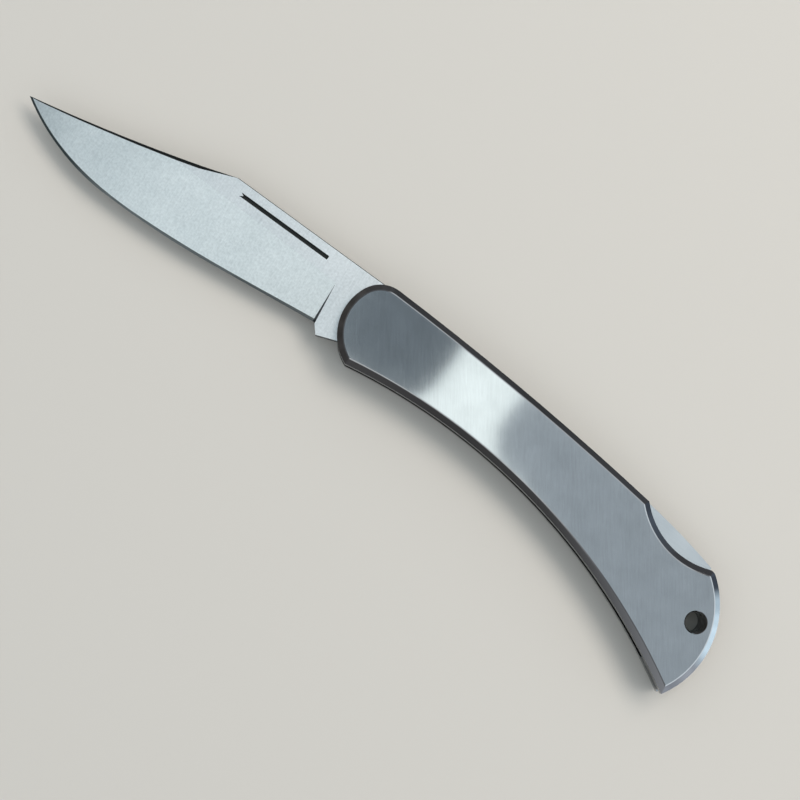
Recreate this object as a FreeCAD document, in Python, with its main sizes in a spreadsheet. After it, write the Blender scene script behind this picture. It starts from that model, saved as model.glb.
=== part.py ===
import FreeCAD, Part
import math
import os
import Sketcher
from FreeCAD import Placement, Rotation, Vector

# A lockback folding knife with an all-steel handle, open and lying on its back scale.
# Origin: foot of the blade pivot axis on the resting face. +X runs to the butt,
# +Y to the back of the handle and the spine of the blade, +Z out of the front scale.
# The blade points along -X. Lengths are millimetres.

SIZES = (
    # Blade
    ("blade_reach", 87.65, "pivot axis to the tip, along the blade"),
    ("blade_thickness", 2.4, "stock thickness at the spine"),
    ("tip_drop", 0.78, "tip below the pivot axis"),
    ("spine_height", 11.12, "spine above the pivot axis"),
    ("clip_run", 46.0, "tip to the clip corner, along the blade"),
    ("clip_radius", 390, "hollow of the clip"),
    ("spine_edge", 0.14, "broken edges of the spine"),
    ("swedge_width", 0.8, "false edge on the clip, in plan"),
    ("swedge_drop", 0.42, "false edge on the clip, through the thickness"),
    ("swedge_run", 8.0, "clip corner to the full width of the false edge"),
    ("swedge_reach", 3.0, "reach of the false edge's grinding over the side"),
    ("belly_run", 24.45, "tip to the end of the belly curve"),
    ("belly_depth", 8.12, "edge below the pivot axis at the end of the belly curve"),
    ("belly_mid_run", 11.4, "tip to the middle of the belly curve"),
    ("belly_mid_depth", 5.9, "edge below the pivot axis in the middle of the belly curve"),
    ("belly_curve_radius", 46.8, "belly curve"),
    ("straight_run", 51.75, "tip to the start of the straight edge"),
    ("straight_depth", 6.88, "edge below the pivot axis at the start of the straight edge"),
    ("edge_radius", 190, "slow curve between the belly and the straight edge"),
    ("heel_back", 11.0, "heel of the edge in front of the pivot axis"),
    ("heel_depth", 3.95, "heel of the edge below the pivot axis"),
    ("kick_back", 9.18, "kick in front of the pivot axis"),
    ("kick_depth", 6.05, "kick below the pivot axis"),
    ("plunge_back", 11.36, "plunge line before the pivot axis, at the height of the axis"),
    ("plunge_slant", 8.6, "degrees that the plunge line leans"),
    ("plunge_run", 0.65, "slope from the plunge line down to the grind, along the blade"),
    ("grind_rear_height", 5.4, "top of the grind at the plunge line"),
    ("grind_mid_height", 6.0, "top of the grind at the start of the straight edge"),
    ("grind_front_height", 6.5, "top of the grind towards the tip"),
    ("edge_bevel", 0.55, "height of the sharpened bevel"),
    ("edge_shoulder", 0.2, "half thickness behind the sharpened bevel"),
    ("edge_land", 0.03, "half thickness to which the sharpening closes"),
    ("edge_over", 0.1, "reach of the sharpening past the edge"),
    ("grind_over", 2.0, "reach of the grinding past the edge and past the top of the grind"),
    ("tip_over", 1.5, "reach of the grinding past the tip"),
    ("groove_front", 39.45, "front end of the nail groove before the pivot axis"),
    ("groove_rear", 16.63, "rear end of the nail groove before the pivot axis"),
    ("groove_height", 8.13, "lower wall of the nail groove above the pivot axis"),
    ("groove_half_width", 0.46, "half of the nail groove across"),
    ("groove_depth", 0.5, "nail groove into the side"),
    ("groove_notch", 0.75, "fishtail at the front end of the nail groove"),
    # Tang and lock
    ("cam_radius", 6.4, "back of the tang, which the lock bar's hook rides on"),
    ("seat_radius", 5.1, "flat of the tang under the hook when the blade is shut"),
    ("seat_front", 3.3, "front end of that seat before the pivot axis"),
    ("seat_rear", 0.2, "rear end of that seat before the pivot axis"),
    ("cam_start", 1.1, "start of the cam behind the pivot axis"),
    ("hook_front", 1.5, "front face of the lock bar behind the pivot axis"),
    ("hook_rear", 4.4, "rear face of the hook behind the pivot axis"),
    ("hook_slope", 0.35, "lean of the hook's rear face"),
    ("hook_gap", 0.2, "lifted hook over the cam"),
    ("hook_drop", 1.2, "travel of the hook into the notch"),
    ("notch_gap", 0.2, "room round the hook in the notch"),
    ("bar_depth", 4.9, "lock bar from the back line to its underside"),
    ("bar_side_gap", 0.05, "lock bar to each scale"),
    ("tail_height", 3.35, "top of the lock bar's tail end above the pivot axis"),
    ("tail_depth", 4.7, "height of the lock bar's tail end"),
    ("tail_radius", 150, "bow of the lock bar's tail in the scoop"),
    ("tail_gap", 0.3, "lock bar's tail to the corner of the scoop and to the spacer"),
    # Handle
    ("scale_thickness", 3.0, "each scale"),
    ("bevel_width", 1.2, "bevel round a scale, in plan"),
    ("bevel_drop", 1.0, "bevel round a scale, through the thickness"),
    ("brink_width", 0.22, "broken edge between bevel and outer face, in plan"),
    ("brink_drop", 0.1, "broken edge between bevel and outer face, through the thickness"),
    ("chin_back", 0.5, "lower front corner before the pivot axis"),
    ("chin_depth", 7.5, "lower front corner below the pivot axis"),
    ("front_reach", 7.5, "foremost point of the handle before the pivot axis"),
    ("front_height", 2.97, "foremost point of the handle above the pivot axis"),
    ("brow_front", 3.55, "upper front corner, before it is rounded, in front of the pivot axis"),
    ("back_height", 11.62, "upper front corner, before it is rounded, above the pivot axis"),
    ("brow_radius", 6.7, "round of the upper front corner"),
    ("back_radius", 659, "bow of the back"),
    ("butt_room", 7.8, "circle of the tip to the end of the butt"),
    ("scoop_start", 27.95, "front end of the thumb scoop before the butt end"),
    ("scoop_start_height", 6.75, "front end of the thumb scoop above the pivot axis"),
    ("scoop_end", 8.7, "rear end of the thumb scoop before the butt end"),
    ("scoop_end_height", 3.0, "rear end of the thumb scoop above the pivot axis"),
    ("scoop_radius", 17, "thumb scoop"),
    ("scoop_end_round", 1.7, "round between the thumb scoop and the butt"),
    ("butt_radius", 20, "round of the butt"),
    ("corner_inset", 3.05, "lower butt corner before the butt end"),
    ("corner_depth", 24.1, "lower butt corner below the pivot axis"),
    ("belly_radius", 135, "hollow of the handle's belly"),
    ("lanyard_inset", 5.85, "lanyard hole before the butt end"),
    ("lanyard_depth", 8.0, "lanyard hole below the pivot axis"),
    ("lanyard_radius", 2.3, "lanyard hole"),
    ("lanyard_edge", 0.15, "broken edge of the lanyard hole"),
    # Spacer and spring
    ("spacer_recess", 0.35, "spacer set back from the edges of the scales"),
    ("tip_gap", 0.5, "tip of the shut blade to the spacer"),
    ("pocket_slope", 0.6, "degrees about the pivot axis from the lanyard hole's foot to the tip's pocket"),
    ("arm_reach", 15.95, "front end of the spring arm before the butt end"),
    ("arm_top", 0.65, "top of the spring arm's front end below the pivot axis"),
    ("arm_bottom", 4.7, "bottom of the spring arm's front end below the pivot axis"),
    ("arm_root", 2.1, "top of the spring arm's root below the pivot axis"),
    ("spring_thickness", 0.9, "leaf spring"),
    ("spring_radius", 80, "bow of the leaf spring's upper face"),
    ("spring_front", 28.95, "front end of the spring before the butt end"),
    ("spring_rear", 9.6, "rear end of the spring before the butt end"),
    ("spring_rear_depth", 4.1, "rear end of the spring below the pivot axis"),
    ("spring_gap", 0.15, "spring under the lock bar"),
    ("spring_fit", 0.02, "spring in its slot"),
    ("spring_side_gap", 0.1, "spring to each scale"),
    # Rivets and washers
    ("pivot_radius", 2.0, "blade pivot pin"),
    ("lock_pin_back", 52.0, "lock bar pin behind the pivot axis"),
    ("lock_pin_drop", 2.45, "lock bar pin below the chord of the back"),
    ("lock_pin_radius", 1.0, "lock bar pin"),
    ("running_gap", 0.03, "pin in a piece that turns on it"),
    ("rivet_radius", 1.25, "spacer rivets"),
    ("upper_rivet_inset", 7.45, "upper spacer rivet before the butt end"),
    ("upper_rivet_depth", 3.4, "upper spacer rivet below the pivot axis"),
    ("lower_rivet_inset", 5.1, "lower spacer rivet before the butt end"),
    ("lower_rivet_depth", 17.5, "lower spacer rivet below the pivot axis"),
    ("head_spread", 0.3, "flush head of a rivet, beyond its shank"),
    ("washer_radius", 4.7, "pivot washers"),
    ("washer_thickness", 0.1, "pivot washers"),
)

AXIS = "axis"
BUTT_LINE = "blade_reach + butt_room"
SLOT = "blade_thickness + washer_thickness + washer_thickness"
MID_PLANE = f"scale_thickness + {SLOT}"
KNIFE_THICKNESS = f"scale_thickness + scale_thickness + {SLOT}"
Z_AXIS = Vector(0, 0, 1)
NEAR = 1e-6

doc = FreeCAD.newDocument("FoldingKnife")
sheet = doc.addObject("Spreadsheet::Sheet", "Sizes")
for row, (alias, number, meaning) in enumerate(SIZES, 1):
    sheet.set(f"A{row}", meaning)
    sheet.set(f"B{row}", str(number))
    sheet.setAlias(f"B{row}", alias)
doc.recompute()


def terms(words):
    """The signed names in a sum such as 'blade_reach + butt_room - scoop_end'."""
    sign = 1
    for word in words.split():
        if word in "+-":
            sign = 1 if word == "+" else -1
        else:
            yield sign, word


def amount(words):
    """The number that a sum of named sizes comes to."""
    if words == AXIS:
        return 0.0
    if isinstance(words, tuple):
        return words[0]
    return sum(sign * float(sheet.get(name)) for sign, name in terms(words))


def bound(words):
    """The same sum as an expression on the sheet."""
    if isinstance(words, tuple):
        return words[1]
    return " ".join(f"{'+' if sign > 0 else '-'} Sizes.{name}" for sign, name in terms(words)).lstrip("+ ")


def moved(words, by):
    """A sum of named sizes, larger by another."""
    return amount(words) + amount(by), f"({bound(words)}) + ({bound(by)})"


def halfway(first, second):
    """The mean of two sums of named sizes."""
    return (amount(first) + amount(second)) / 2, f"(({bound(first)}) + ({bound(second)})) / 2"


class Corner:
    """A corner of an outline. A coordinate without words is left to the sketch's other constraints."""

    def __init__(self, x_words, y_words, x=None, y=None):
        self.words = (x_words, y_words)
        self.x = amount(x_words) if x_words else x
        self.y = amount(y_words) if y_words else y
        self.point = Vector(self.x, self.y, 0)


def arc_centre(start, end, radius, turn):
    """Centre of the short arc between two corners. turn is 1 for a bend to the left and -1 to the right."""
    chord = end.point - start.point
    side = Vector(-chord.y, chord.x, 0).normalize() * turn
    return start.point + chord * 0.5 + side * math.sqrt(radius**2 - chord.Length**2 / 4)


def arc_centre_text(start, end, radius_words, turn):
    """X and Y of the same centre as expressions on the sheet."""
    (left, low), (right, high) = ([f"({bound(words)})" for words in corner.words] for corner in (start, end))
    run, rise = f"({right} - {left})", f"({high} - {low})"
    reach = f"({turn}) * sqrt(({bound(radius_words)})^2 / ({run}^2 + {rise}^2) - 1 / 4)"
    return f"(({left} + {right}) / 2 - {rise} * {reach})", f"(({low} + {high}) / 2 + {run} * {reach})"


def height_on_arc(start, end, radius_words, turn, x_words):
    """Height, at a named X, of an arc between two corners that lies below its centre."""
    radius = amount(radius_words)
    centre = arc_centre(start, end, radius, turn)
    x_text, y_text = arc_centre_text(start, end, radius_words, turn)
    value = centre.y - math.sqrt(radius**2 - (amount(x_words) - centre.x) ** 2)
    return value, f"{y_text} - sqrt(({bound(radius_words)})^2 - ({bound(x_words)} - {x_text})^2)"


def stretched(start, through, length):
    """The corner at a length from a point, on the way through a corner."""
    point = start + (through.point - start).normalize() * length
    return Corner(None, None, point.x, point.y)


def on_circle(x_words, centre, radius, upper=True):
    """A corner at a named X on a circle, above or below its centre."""
    rise = math.sqrt(radius**2 - (amount(x_words) - centre.x) ** 2)
    return Corner(x_words, None, y=centre.y + (rise if upper else -rise))


def crossing(first, first_radius, second, second_radius, near):
    """The corner where two circles cross, the one that lies nearest to another corner."""
    apart = second - first
    along = (apart.Length**2 + first_radius**2 - second_radius**2) / (2 * apart.Length)
    across = math.sqrt(first_radius**2 - along**2)
    ahead = apart.normalize()
    side = Vector(-ahead.y, ahead.x, 0)
    points = [first + ahead * along + side * across * way for way in (1, -1)]
    point = min(points, key=near.point.distanceToPoint)
    return Corner(None, None, point.x, point.y)


class Outline:
    """Lines and arcs in a sketch, chained into closed loops and bound to named sizes."""

    def __init__(self, sketch):
        self.sketch = sketch
        self.chain = []

    def add(self, *constraint):
        return self.sketch.addConstraint(Sketcher.Constraint(*constraint))

    def bind(self, words, *constraint):
        number = self.add(*constraint, amount(words))
        self.sketch.setExpression(f"Constraints[{number}]", bound(words))

    def hold(self, geometry, end, corner):
        """Binds one end of a line or arc to the named coordinates of a corner."""
        for kind, axis, words in zip(("DistanceX", "DistanceY"), (-2, -1), corner.words):
            if words == AXIS:
                self.add("PointOnObject", geometry, end, axis)
            elif words:
                self.bind(words, kind, -1, 1, geometry, end)

    def line(self, start, end):
        geometry = self.sketch.addGeometry(Part.LineSegment(start.point, end.point), False)
        self.chain.append((geometry, 1, 2, start, False))
        return geometry

    def bare_arc(self, start, end, radius, turn, reference=False, smooth=False):
        """An arc whose radius is left to other constraints.

        A reference arc stays out of the chain. A smooth arc runs on from the one before it without a corner.
        """
        centre = arc_centre(start, end, radius, turn)
        first, last = (start, end) if turn > 0 else (end, start)
        angles = [math.atan2(c.y - centre.y, c.x - centre.x) for c in (first, last)]
        curve = Part.ArcOfCircle(Part.Circle(centre, Z_AXIS, radius), *angles)
        geometry = self.sketch.addGeometry(curve, reference)
        ends = (1, 2) if turn > 0 else (2, 1)
        if reference:
            self.hold(geometry, ends[0], start)
            self.hold(geometry, ends[1], end)
        else:
            self.chain.append((geometry, *ends, start, smooth))
        return geometry

    def arc(self, start, end, words, turn, reference=False, smooth=False):
        """An arc of a named radius."""
        geometry = self.bare_arc(start, end, amount(words), turn, reference, smooth)
        self.bind(words, "Radius", geometry)
        return geometry

    def arc_about(self, start, end, words, turn, guide=None, smooth=False):
        """An arc about a guide arc's centre, or about the pivot axis, of a named radius if it has one."""
        radius = start.point.distanceToPoint(self.centre(guide))
        geometry = self.bare_arc(start, end, radius, turn, smooth=smooth)
        self.add("Coincident", geometry, 3, *((-1, 1) if guide is None else (guide, 3)))
        if words:
            self.bind(words, "Radius", geometry)
        return geometry

    def arc_upright_at(self, start, end, upright, turn):
        """A reference arc that runs straight up at the corner named upright, which is one of its ends."""
        across = end.point - start.point
        geometry = self.bare_arc(start, end, across.Length**2 / abs(2 * across.x), turn, reference=True)
        self.add("Horizontal", geometry, 3, geometry, 1 if (upright is start) == (turn > 0) else 2)
        return geometry

    def centre(self, guide):
        return PIVOT.point if guide is None else self.sketch.Geometry[guide].Center

    def close(self):
        """Joins the chain end to end and binds its corners."""
        following = self.chain[1:] + self.chain[:1]
        for (geometry, _, leave, *_), (after, enter, _, corner, smooth) in zip(self.chain, following):
            self.add("Tangent" if smooth else "Coincident", geometry, leave, after, enter)
            self.hold(after, enter, corner)
        self.chain = []

    def polygon(self, corners):
        lines = [self.line(a, b) for a, b in zip(corners, corners[1:] + corners[:1])]
        self.close()
        return lines

    def circle(self, centre, words, reference=False):
        geometry = self.sketch.addGeometry(Part.Circle(centre.point, Z_AXIS, amount(words)), reference)
        if centre is PIVOT:
            self.add("Coincident", geometry, 3, -1, 1)
        else:
            self.hold(geometry, 3, centre)
        self.bind(words, "Radius", geometry)
        return geometry


# Corners that several pieces share
PIVOT = Corner(None, None, 0, 0)
CHIN = Corner("- chin_back", "- chin_depth")
FRONT = Corner("- front_reach", "front_height")
BROW = Corner("- brow_front", "back_height")
SCOOP_START = Corner(f"{BUTT_LINE} - scoop_start", "scoop_start_height")
SCOOP_END = Corner(f"{BUTT_LINE} - scoop_end", "scoop_end_height")
BUTT_CORNER = Corner(f"{BUTT_LINE} - corner_inset", "- corner_depth")
BACK_CENTRE = arc_centre(BROW, SCOOP_START, amount("back_radius"), -1)
LOOSE_SCOOP_START = Corner(f"{BUTT_LINE} - scoop_start", None, y=SCOOP_START.y)
TAIL_X = f"{BUTT_LINE} - scoop_end - tail_gap"


def from_butt_end(words):
    """A distance along X, measured forwards from the outermost point of the butt's round."""
    radius = amount("butt_radius")
    centre = arc_centre(SCOOP_END, BUTT_CORNER, radius, -1)
    x_text, _ = arc_centre_text(SCOOP_END, BUTT_CORNER, "butt_radius", -1)
    return centre.x + radius - amount(words), f"{x_text} + Sizes.butt_radius - ({bound(words)})"


def lock_pin_height():
    """Height of the lock bar's pin, which hangs from the chord of the back."""
    fall = (BROW.y - SCOOP_START.y) / (SCOOP_START.x - BROW.x)
    value = BROW.y - fall * (amount("lock_pin_back") - BROW.x) - amount("lock_pin_drop")
    drop_text = bound("back_height - scoop_start_height")
    run_text = bound(f"{BUTT_LINE} - scoop_start + brow_front")
    place_text = bound("lock_pin_back + brow_front")
    chord_text = f"Sizes.back_height - ({drop_text}) / ({run_text}) * ({place_text})"
    return value, f"{chord_text} - Sizes.lock_pin_drop"


def notch_floor(hook_words):
    """Height of the notch's floor under one end of the hook, when the hook has dropped in."""
    ride = amount("cam_radius + hook_gap")
    value = math.sqrt(ride**2 - amount(hook_words) ** 2) - amount("hook_drop + notch_gap")
    ride_text = f"({bound('cam_radius + hook_gap')})^2 - ({bound(hook_words)})^2"
    return value, f"sqrt({ride_text}) - ({bound('hook_drop + notch_gap')})"


LOCK_PIN = Corner("lock_pin_back", lock_pin_height())
LANYARD = Corner(from_butt_end("lanyard_inset"), "- lanyard_depth")
UPPER_RIVET = Corner(from_butt_end("upper_rivet_inset"), "- upper_rivet_depth")
LOWER_RIVET = Corner(from_butt_end("lower_rivet_inset"), "- lower_rivet_depth")


def new_body(label, z_words=None):
    body = doc.addObject("PartDesign::Body", label)
    body.Label = label
    if z_words:
        body.setExpression("Placement.Base.z", bound(z_words))
    return body


def origin_plane(body, role):
    return next(item for item in body.Origin.OriginFeatures if item.Role == role)


def new_sketch(body, name, role="XY_Plane"):
    """A sketch on one of the body's own origin planes."""
    sketch = body.newObject("Sketcher::SketchObject", f"{body.Name}_{name}")
    sketch.AttachmentSupport = (origin_plane(body, role), [""])
    sketch.MapMode = "FlatFace"
    return sketch


def pad(body, sketch, words, side="One side", reverse=False):
    feature = body.newObject("PartDesign::Pad", f"{sketch.Name}_pad")
    feature.Profile = sketch
    feature.SideType = side
    feature.Reversed = reverse
    feature.setExpression("Length", bound(words))
    doc.recompute()
    return feature


def cut(feature):
    """Recomputes, and makes sure that a cut has really taken material away."""
    doc.recompute()
    if not feature.Shape.Volume < feature.BaseFeature.Shape.Volume:
        raise RuntimeError(f"{feature.Name} removes nothing")
    return feature


def pocket_through(body, sketch):
    feature = body.newObject("PartDesign::Pocket", f"{sketch.Name}_cut")
    feature.Profile = sketch
    feature.Type = "ThroughAll"
    feature.SideType = "Symmetric"
    return cut(feature)


def edge_names(shape, wanted):
    return [f"Edge{number}" for number, edge in enumerate(shape.Edges, 1) if wanted(edge)]


def lies_at(edge, z):
    return all(abs(vertex.Z - z) < NEAR for vertex in edge.Vertexes)


def soften(body, name, base, edges, words):
    """Breaks edges with a narrow chamfer."""
    feature = body.newObject("PartDesign::Chamfer", f"{body.Name}_{name}")
    feature.Base = (base, edges)
    feature.setExpression("Size", bound(words))
    return cut(feature)


def rim_of(shape, z, corner):
    """The circular edge round a hole at a corner, at a height."""
    def is_rim(edge):
        round_edge = isinstance(edge.Curve, Part.Circle) and lies_at(edge, z)
        return round_edge and edge.Curve.Center.distanceToPoint(corner.point + Z_AXIS * z) < NEAR

    return edge_names(shape, is_rim)


def handle_outline(sketch, *insets):
    """Front round, brow, back, thumb scoop, butt and belly, moved inwards by the named insets."""
    smaller = "".join(f" - {inset}" for inset in insets)
    larger = "".join(f" + {inset}" for inset in insets)
    outline = Outline(sketch)
    chin = outline.arc_upright_at(CHIN, FRONT, FRONT, -1)
    front = outline.arc_upright_at(FRONT, BROW, FRONT, -1)
    back = outline.arc(BROW, SCOOP_START, "back_radius", -1, reference=True)
    scoop = outline.arc(SCOOP_START, SCOOP_END, "scoop_radius", 1, reference=True)
    butt = outline.arc(SCOOP_END, BUTT_CORNER, "butt_radius", -1, reference=True)
    belly = outline.arc(BUTT_CORNER, CHIN, "belly_radius", 1, reference=True)

    foremost = Corner(f"- front_reach{larger}", "front_height")
    chin_radius, front_radius = (foremost.point.distanceToPoint(outline.centre(arc)) for arc in (chin, front))
    brow_words, back_words, butt_words = (f"{name}_radius{smaller}" for name in ("brow", "back", "butt"))
    round_words = f"scoop_end_round{smaller}"
    scoop_words, belly_words = (f"{name}_radius{larger}" for name in ("scoop", "belly"))
    brow_radius, back_radius, butt_radius = amount(brow_words), amount(back_words), amount(butt_words)
    scoop_radius, belly_radius, round_radius = amount(scoop_words), amount(belly_words), amount(round_words)
    front_centre, back_centre = outline.centre(front), outline.centre(back)
    scoop_centre, butt_centre = outline.centre(scoop), outline.centre(butt)
    brow = crossing(front_centre, front_radius - brow_radius, back_centre, back_radius - brow_radius, BROW)
    brow_front = stretched(front_centre, brow, front_radius)
    brow_rear = stretched(back_centre, brow, back_radius)
    scoop_start = crossing(back_centre, back_radius, scoop_centre, scoop_radius, SCOOP_START)
    reaches = (scoop_radius + round_radius, butt_radius - round_radius)
    rounded = crossing(scoop_centre, reaches[0], butt_centre, reaches[1], SCOOP_END)
    scoop_rear = stretched(scoop_centre, rounded, scoop_radius)
    butt_top = stretched(butt_centre, rounded, butt_radius)
    low_corner = crossing(butt_centre, butt_radius, outline.centre(belly), belly_radius, BUTT_CORNER)
    chin_corner = crossing(outline.centre(belly), belly_radius, outline.centre(chin), chin_radius, CHIN)

    outline.arc_about(chin_corner, foremost, None, -1, chin)
    outline.arc_about(foremost, brow_front, None, -1, front)
    outline.arc(brow_front, brow_rear, brow_words, -1, smooth=True)
    outline.arc_about(brow_rear, scoop_start, back_words, -1, back, smooth=True)
    outline.arc_about(scoop_start, scoop_rear, scoop_words, 1, scoop)
    outline.arc(scoop_rear, butt_top, round_words, -1, smooth=True)
    outline.arc_about(butt_top, low_corner, butt_words, -1, butt, smooth=True)
    outline.arc_about(low_corner, chin_corner, belly_words, 1, belly)
    outline.close()


def make_scale(label, front):
    """One handle half: upright sides, then a bevel all round that narrows to the outer face."""
    body = new_body(label, MID_PLANE if front else "scale_thickness")
    way = "" if front else "-"
    rim = new_sketch(body, "rim")
    rim.setExpression("AttachmentOffset.Base.z", f"{way}({bound('scale_thickness - bevel_drop')})")
    handle_outline(rim)
    pad(body, rim, "scale_thickness - bevel_drop", reverse=front)
    brink = new_sketch(body, "brink")
    brink.setExpression("AttachmentOffset.Base.z", f"{way}({bound('scale_thickness - brink_drop')})")
    handle_outline(brink, "bevel_width")
    face = new_sketch(body, "face")
    face.setExpression("AttachmentOffset.Base.z", f"{way}{bound('scale_thickness')}")
    handle_outline(face, "bevel_width", "brink_width")
    bevelled = body.newObject("PartDesign::AdditiveLoft", f"{label}_bevelled")
    bevelled.Profile = rim
    bevelled.Sections = [brink, face]
    bevelled.Ruled = True
    doc.recompute()

    countersunk_holes(body, "pivot", [PIVOT], "pivot_radius", front)
    countersunk_holes(body, "lock_pin", [LOCK_PIN], "lock_pin_radius", front)
    countersunk_holes(body, "rivets", [UPPER_RIVET, LOWER_RIVET], "rivet_radius", front)
    lanyard = new_sketch(body, "lanyard")
    Outline(lanyard).circle(LANYARD, "lanyard_radius")
    bored = pocket_through(body, lanyard)
    outer = amount("scale_thickness") * (1 if front else -1)
    soften(body, "lanyard_edge", bored, rim_of(bored.Shape, outer, LANYARD), "lanyard_edge")
    return body


def countersunk_holes(body, name, places, radius, front):
    """Holes through a scale, countersunk in its outer face for the flush heads of rivets."""
    sketch = new_sketch(body, name)
    way = "" if front else "-"
    sketch.setExpression("AttachmentOffset.Base.z", f"{way}{bound('scale_thickness')}")
    outline = Outline(sketch)
    for place in places:
        outline.circle(place, radius)
    doc.recompute()
    hole = body.newObject("PartDesign::Hole", f"{sketch.Name}_hole")
    hole.Profile = sketch
    hole.Reversed = not front
    hole.DepthType = "ThroughAll"
    hole.HoleCutType = "Countersink"
    hole.HoleCutCustomValues = True
    hole.HoleCutCountersinkAngle = 90
    hole.setExpression("Diameter", f"2 * Sizes.{radius}")
    hole.setExpression("HoleCutDiameter", f"2 * ({bound(radius + ' + head_spread')})")
    cut(hole)


TIP = Corner("- blade_reach", "- tip_drop")
BELLY_MID = Corner("- blade_reach + belly_mid_run", "- belly_mid_depth")
BELLY = Corner("- blade_reach + belly_run", "- belly_depth")
STRAIGHT = Corner("- blade_reach + straight_run", "- straight_depth")
HEEL = Corner("- heel_back", "- heel_depth")
CLIP = Corner("- blade_reach + clip_run", "spine_height")


def blade_outline(sketch):
    """Edge, kick, tang with its seat, cam and lock notch, spine and clip."""
    origin = PIVOT.point
    kick = Corner("- kick_back", "- kick_depth")
    seat_front = on_circle("- seat_front", origin, amount("seat_radius"), upper=False)
    seat_rear = on_circle("- seat_rear", origin, amount("seat_radius"), upper=False)
    cam_start = on_circle("cam_start", origin, amount("cam_radius"), upper=False)
    cam_end = on_circle("hook_rear + notch_gap", origin, amount("cam_radius"))
    notch_rear = Corner("hook_rear + notch_gap", notch_floor("hook_rear"))
    notch_front = Corner("hook_front - notch_gap", notch_floor("hook_front"))
    shoulder = Corner("hook_front - notch_gap", "spine_height")

    outline = Outline(sketch)
    outline.arc(TIP, BELLY_MID, "belly_curve_radius", 1)
    outline.arc(BELLY_MID, BELLY, "belly_curve_radius", 1)
    outline.arc(BELLY, STRAIGHT, "edge_radius", 1)
    outline.line(STRAIGHT, HEEL)
    outline.line(HEEL, kick)
    outline.line(kick, seat_front)
    outline.arc_about(seat_front, seat_rear, "seat_radius", 1)
    outline.line(seat_rear, cam_start)
    outline.arc_about(cam_start, cam_end, "cam_radius", 1)
    outline.line(cam_end, notch_rear)
    outline.line(notch_rear, notch_front)
    outline.line(notch_front, shoulder)
    outline.line(shoulder, CLIP)
    outline.arc(CLIP, TIP, "clip_radius", -1)
    outline.close()
    outline.circle(PIVOT, "pivot_radius + running_gap")


def half_blade():
    return amount("blade_thickness") / 2, "Sizes.blade_thickness / 2"


def grind_rise(edge_words, top_words):
    """How steeply the grind rises from the sharpened bevel to its top."""
    run = amount(top_words) - amount(edge_words) - amount("edge_bevel")
    run_text = f"({bound(top_words)}) - ({bound(edge_words)}) - Sizes.edge_bevel"
    half, half_text = half_blade()
    return (half - amount("edge_shoulder")) / run, f"({half_text} - Sizes.edge_shoulder) / ({run_text})"


def grind_section(body, name, x_words, edge_words, top_words, flush=False):
    """A cross-section of what grinding takes off one side, at a station along the blade.

    The sketch's own axes run up the blade and out of its side. A flush section only touches the side.
    """
    half = half_blade()
    rise, rise_text = grind_rise(edge_words, top_words)
    clear = (half[0] + rise * amount("grind_over"), f"{half[1]} + {rise_text} * Sizes.grind_over")
    floor = half if flush else "edge_land"
    bend = Corner(top_words, half) if flush else Corner(moved(edge_words, "edge_bevel"), "edge_shoulder")

    section = new_sketch(body, f"grind_at_{name}", "YZ_Plane")
    section.setExpression("AttachmentOffset.Base.z", bound(x_words))
    Outline(section).polygon([
        Corner(moved(edge_words, "- edge_over"), floor),
        bend,
        Corner(moved(top_words, "grind_over"), clear),
        Corner(moved(edge_words, "- grind_over"), clear),
        Corner(moved(edge_words, "- grind_over"), floor),
    ])
    return section


def edge_station(x_words, top_words, start, end, radius_words):
    """X, height of the edge and top of the grind at a station on one of the edge's arcs, or past its end."""
    return x_words, height_on_arc(start, end, radius_words, 1, x_words), top_words


def swedge_section(body, name, x_words, shoulder):
    """A cross-section of what the false edge takes off one side of the clip, down to a shoulder."""
    clip = height_on_arc(CLIP, TIP, "clip_radius", -1, x_words)
    climb = amount("swedge_drop") / amount("swedge_width") * amount("swedge_reach")
    climb_text = "Sizes.swedge_drop / Sizes.swedge_width * Sizes.swedge_reach"
    high = (amount(shoulder) + climb, f"{bound(shoulder)} + {climb_text}")
    low = (amount(shoulder) - climb, f"{bound(shoulder)} - {climb_text}")
    inner, outer = moved(clip, "- swedge_reach"), moved(clip, "swedge_reach")

    section = new_sketch(body, f"swedge_at_{name}", "YZ_Plane")
    section.setExpression("AttachmentOffset.Base.z", bound(x_words))
    Outline(section).polygon([Corner(inner, high), Corner(outer, low), Corner(outer, high)])
    return section


def ground_side(x_words, edge_words, top_words):
    """Half of the ground blade's thickness at the clip, at a station along the blade."""
    rise, rise_text = grind_rise(edge_words, top_words)
    clip = height_on_arc(CLIP, TIP, "clip_radius", -1, x_words)
    above = amount(clip) - amount(edge_words) - amount("edge_bevel")
    above_text = f"(({bound(clip)}) - ({bound(edge_words)}) - Sizes.edge_bevel)"
    return amount("edge_shoulder") + above * rise, f"Sizes.edge_shoulder + {above_text} * {rise_text}"


def under_swedge(side):
    """What the false edge leaves of a half thickness, the same share of it all along the clip."""
    half, half_text = half_blade()
    share = 1 - amount("swedge_drop") / half
    return amount(side) * share, f"({bound(side)}) * (1 - Sizes.swedge_drop / ({half_text}))"


def runs_along_spine(edge):
    """True for the two edges of the spine that run back from the clip."""
    ends = [vertex.Point for vertex in edge.Vertexes]
    flat = all(abs(end.y - CLIP.y) < NEAR for end in ends) and abs(ends[0].z - ends[-1].z) < NEAR
    return flat and any(abs(end.x - CLIP.x) < NEAR for end in ends)


def hollowed(body, name, sections, ruled=False):
    """Takes away what lies between sections along the blade."""
    loft = body.newObject("PartDesign::SubtractiveLoft", f"{body.Name}_{name}")
    loft.Profile = sections[0]
    loft.Sections = sections[1:]
    loft.Ruled = ruled
    return cut(loft)


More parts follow.
